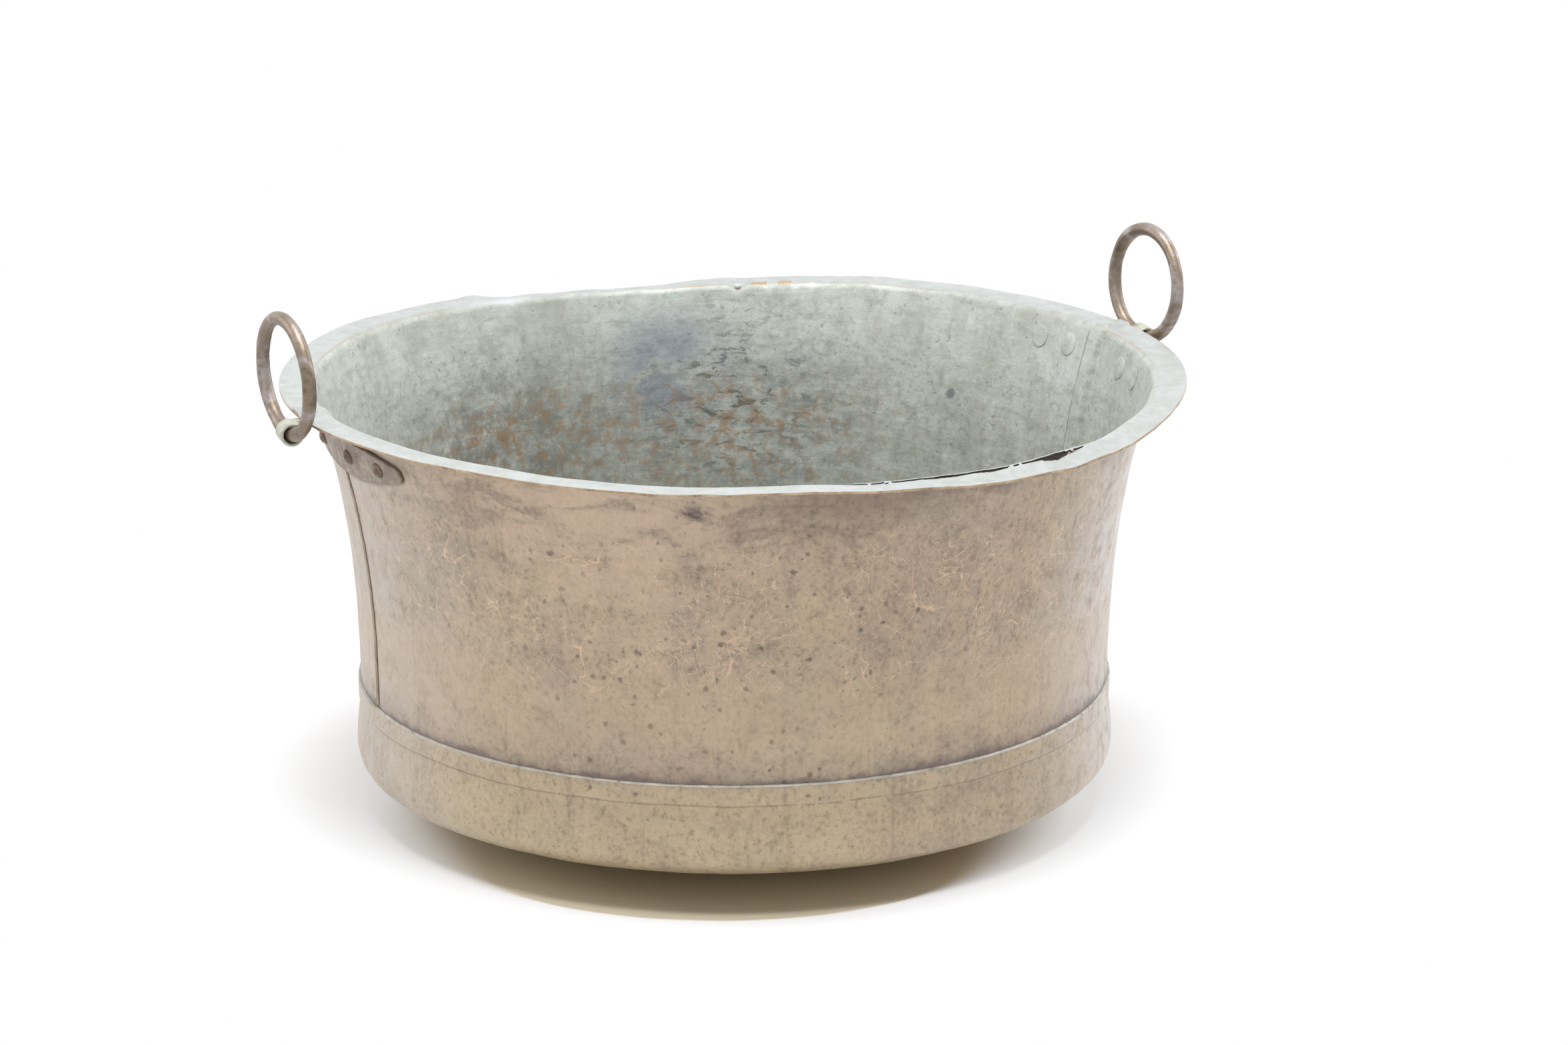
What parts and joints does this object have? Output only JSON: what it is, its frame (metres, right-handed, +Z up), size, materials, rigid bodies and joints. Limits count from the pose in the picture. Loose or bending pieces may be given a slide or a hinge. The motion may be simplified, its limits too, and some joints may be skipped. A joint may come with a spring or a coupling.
{
  "type": "copper tub",
  "caption": "Round hammered copper tub with a flared wall, turned-out lip, lapped domed base and a swinging ring handle at each side.",
  "frame": {"origin": "centre of the flat spot on the underside that the tub stands on, on the tub's axis", "axes": "+Z up along the tub's axis, +X towards the right ring handle, -Y towards the front"},
  "size_m": [0.8058, 0.76, 0.461],
  "materials": {
    "wall_copper": "aged hammered copper, brown patina outside and tinned inside",
    "base_copper": "aged hammered copper, olive brown patina",
    "solder": "dull grey solder",
    "bracket": "tinned copper worn to green and brown",
    "rivet": "dark worn copper",
    "ring": "worn brown bronze"
  },
  "bodies": {
    "tub": {"front_wall_sheet": "wall_copper", "rear_wall_sheet": "wall_copper", "base_pan": "base_copper", "base_seam_solder": "solder", "left_seam_solder": "solder", "right_seam_solder": "solder", "left_bracket": "bracket", "right_bracket": "bracket", "left_bracket_rivets": "rivet", "right_bracket_rivets": "rivet"},
    "left_handle": {"left_ring": "ring"},
    "right_handle": {"right_ring": "ring"}
  },
  "joints": [
    {"name": "left_ring_swing", "type": "hinge", "parent": "tub", "child": "left_handle", "pos_m": [-0.3895, 0, 0.356], "axis": [0.0906, -0.9959, 0], "range_deg": [-10.5, 210]},
    {"name": "right_ring_swing", "type": "hinge", "parent": "tub", "child": "right_handle", "pos_m": [0.3905, 0, 0.361], "axis": [-0.1097, 0.994, 0], "range_deg": [-15, 209.5]}
  ]
}
